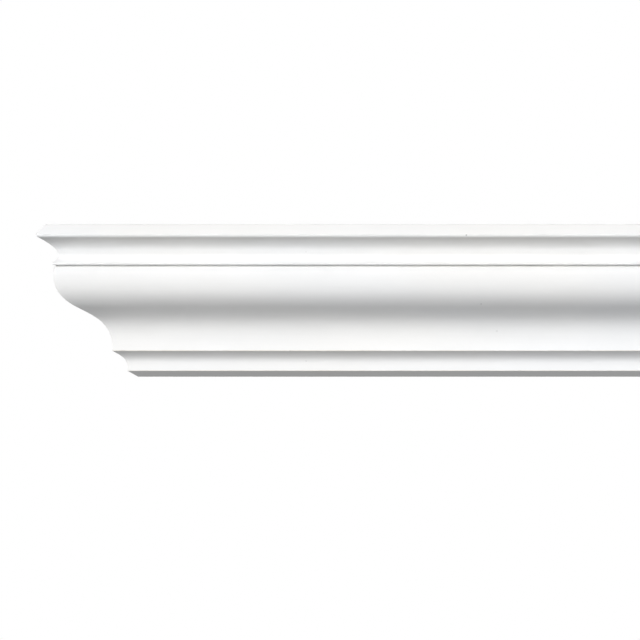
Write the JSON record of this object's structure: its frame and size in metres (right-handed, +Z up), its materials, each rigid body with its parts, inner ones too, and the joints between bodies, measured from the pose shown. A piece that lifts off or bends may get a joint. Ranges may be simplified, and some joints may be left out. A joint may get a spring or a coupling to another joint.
{
  "type": "cornice moulding",
  "caption": "Plain-run cornice moulding length with lip, scotia, fillet, ogee and small cove, mitred at its left end for an outside corner and cut square at its right end.",
  "frame": {"origin": "middle of the flat that lies against the wall: half-way along that flat's length and half-way up its 45 mm height, in the wall plane", "axes": "+Z is up, towards the ceiling. +Y points out of the moulding's back into the wall, so the moulded face looks towards -Y. +X runs along the length, from the mitred end to the square end"},
  "size_m": [1, 0.102, 0.15],
  "materials": {
    "primed_moulding": "smooth matt white primer on rigid moulded foam, with bare cream foam at the two sawn ends and a thinner, rougher coat on the hidden back"
  },
  "bodies": {
    "root": {"cornice_moulding": "primed_moulding"}
  },
  "joints": []
}
